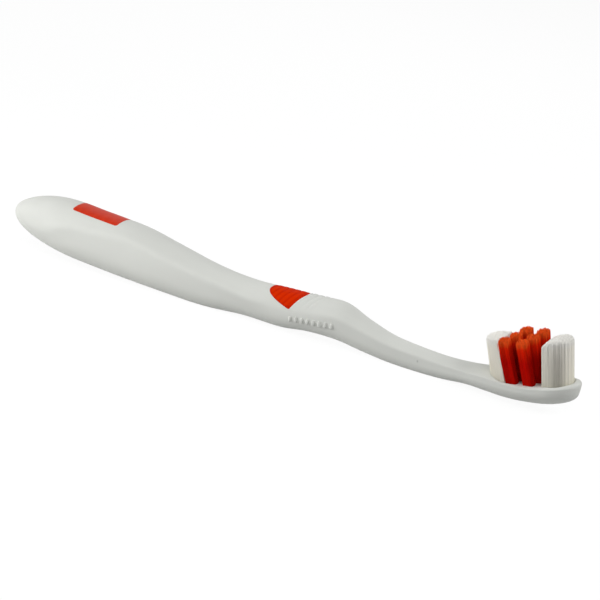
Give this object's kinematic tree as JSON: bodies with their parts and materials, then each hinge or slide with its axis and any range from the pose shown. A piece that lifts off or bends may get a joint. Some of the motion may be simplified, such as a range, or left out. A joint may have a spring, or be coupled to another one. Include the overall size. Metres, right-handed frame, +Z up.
{
  "type": "manual toothbrush",
  "caption": "Slim one-piece toothbrush handle with a soft thumb pad and a small head that carries white and red bristle tufts.",
  "frame": {"origin": "on the table that the brush lies on, midway between the tail and the toe, in the brush's plane of symmetry", "axes": "+X from the tail to the toe of the head, +Z up, the way the bristles point, +Y to the left seen from the tail"},
  "size_m": [0.1854, 0.0164, 0.0216],
  "materials": {
    "handle_white": "smooth satin gloss",
    "grip_red": "matte soft elastomer",
    "panel_red": "plain smooth panel",
    "carrier_white": "smooth",
    "fused_roots": "melted",
    "white_filament": "fine parallel filaments",
    "red_filament": "fine parallel filaments"
  },
  "bodies": {
    "root": {"handle": "handle_white", "thumb_grip": "grip_red", "label_panel": "panel_red", "bristle_carrier": "carrier_white", "fused_roots": "fused_roots", "heel_tuft": "white_filament", "toe_tuft": "white_filament", "right_rear_tuft": "red_filament", "right_front_tuft": "red_filament", "middle_rear_tuft": "red_filament", "middle_front_tuft": "red_filament", "left_rear_tuft": "red_filament", "left_front_tuft": "red_filament"}
  },
  "joints": []
}
